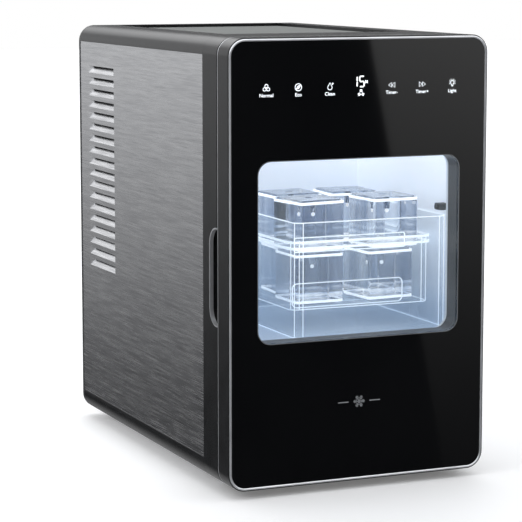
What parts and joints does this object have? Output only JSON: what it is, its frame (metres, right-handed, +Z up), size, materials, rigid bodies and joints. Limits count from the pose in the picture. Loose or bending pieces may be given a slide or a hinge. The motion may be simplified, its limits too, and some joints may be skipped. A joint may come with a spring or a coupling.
{
  "type": "ice maker",
  "caption": "Countertop ice maker with a full-height glass door, lit window, clear bin and basket of large cubes, steel sides with louvres and a lift-up filler lid.",
  "frame": {"origin": "on the floor under the middle of the case", "axes": "+X right, -Y the front with the door, +Z up"},
  "size_m": [0.2544, 0.4, 0.408],
  "materials": {
    "black_moulding": "satin",
    "black_plastic": "textured",
    "brushed_panel": "horizontal grain",
    "black_glass": "polished, printed black behind",
    "clear_glass": "polished",
    "bright_trim": "polished",
    "lid_coating": "matt",
    "white_liner": "smooth",
    "foam": "open cell",
    "lamp_lens": "milky",
    "clear_plastic": "clear",
    "ice": "clear ice",
    "evaporator_metal": "tinned",
    "copper": "drawn copper",
    "condenser_metal": "mill finish",
    "tray_plastic": "food-safe moulding",
    "spindle_steel": "turned",
    "nylon": "natural",
    "motor_case": "zinc plated",
    "galvanised": "zinc plated",
    "compressor_paint": "baked enamel",
    "rubber": "moulded",
    "hose": "silicone",
    "seal": "magnetic seal",
    "magnet": "ferrite",
    "display": "light wells",
    "circuit_board": "solder mask",
    "brass_blades": "plated"
  },
  "bodies": {
    "cabinet": {"base_pan": "galvanised", "rubber_feet": "rubber", "front_frame": "black_moulding", "strike_plates": "galvanised", "grip_trim": "bright_trim", "bottom_rails": "black_moulding", "top_frame": "black_moulding", "left_panel": "brushed_panel", "right_panel": "brushed_panel", "back_panel": "black_plastic", "case_screws": "spindle_steel", "power_inlet": "black_plastic", "inlet_blades": "brass_blades", "power_board": "circuit_board", "lid_pins": "spindle_steel", "chamber_liner": "white_liner", "foam_jacket": "foam", "lamp_bar": "lamp_lens", "level_sensor": "black_plastic", "outer_bin": "clear_plastic", "evaporator": "evaporator_metal", "evaporator_coil": "copper", "tray_bearings": "nylon", "tray_motor": "motor_case", "water_tank": "tray_plastic", "pump_body": "black_plastic", "supply_hose": "hose", "fill_funnel": "white_liner", "fill_hose": "hose", "drain_hose": "hose", "drain_socket": "black_plastic", "compressor": "compressor_paint", "rubber_mounts": "rubber", "condenser": "condenser_metal", "fan_shroud": "black_plastic", "fan_motor": "motor_case", "hot_gas_pipe": "copper", "hinge_pins": "spindle_steel", "hinge_tabs": "spindle_steel"},
    "door": {"door_shell": "black_moulding", "door_trim": "bright_trim", "door_bezel": "bright_trim", "window_pane": "clear_glass", "door_glass": "black_glass", "window_reveal": "black_plastic", "inner_pane": "clear_glass", "door_liner": "white_liner", "door_gasket": "seal", "door_magnets": "magnet", "display_row": "display", "control_board": "circuit_board", "hinge_bushes": "nylon"},
    "lid": {"top_lid": "lid_coating"},
    "basket": {"ice_basket": "clear_plastic", "ice_cubes": "ice"},
    "tray": {"water_tray": "tray_plastic", "tray_spindles": "spindle_steel"},
    "fan": {"fan_blade": "black_plastic"},
    "impeller": {"pump_impeller": "nylon"},
    "plug": {"drain_plug": "rubber"}
  },
  "joints": [
    {"name": "door_hinge", "type": "hinge", "parent": "cabinet", "child": "door", "pos_m": [0.1217, -0.191, 0.208], "axis": [0, 0, 1], "range_deg": [0, 100]},
    {"name": "lid_hinge", "type": "hinge", "parent": "cabinet", "child": "lid", "pos_m": [0, 0.182, 0.4027], "axis": [-1, 0, 0], "range_deg": [0, 85]},
    {"name": "basket_lift", "type": "slide", "parent": "cabinet", "child": "basket", "axis": [0, 0, 1], "range_m": [0, 0.02]},
    {"name": "tray_tilt", "type": "hinge", "parent": "cabinet", "child": "tray", "pos_m": [0.0335, -0.052, 0.358], "axis": [1, 0, 0], "range_deg": [0, 70]},
    {"name": "fan_spin", "type": "hinge", "parent": "cabinet", "child": "fan", "pos_m": [-0.0742, 0.131, 0.266], "axis": [1, 0, 0], "continuous": true},
    {"name": "impeller_spin", "type": "hinge", "parent": "cabinet", "child": "impeller", "pos_m": [-0.0712, 0.004, 0.022], "axis": [0, 0, 1], "continuous": true},
    {"name": "plug_pull", "type": "slide", "parent": "cabinet", "child": "plug", "axis": [0, 1, 0], "range_m": [0, 0.014]}
  ]
}
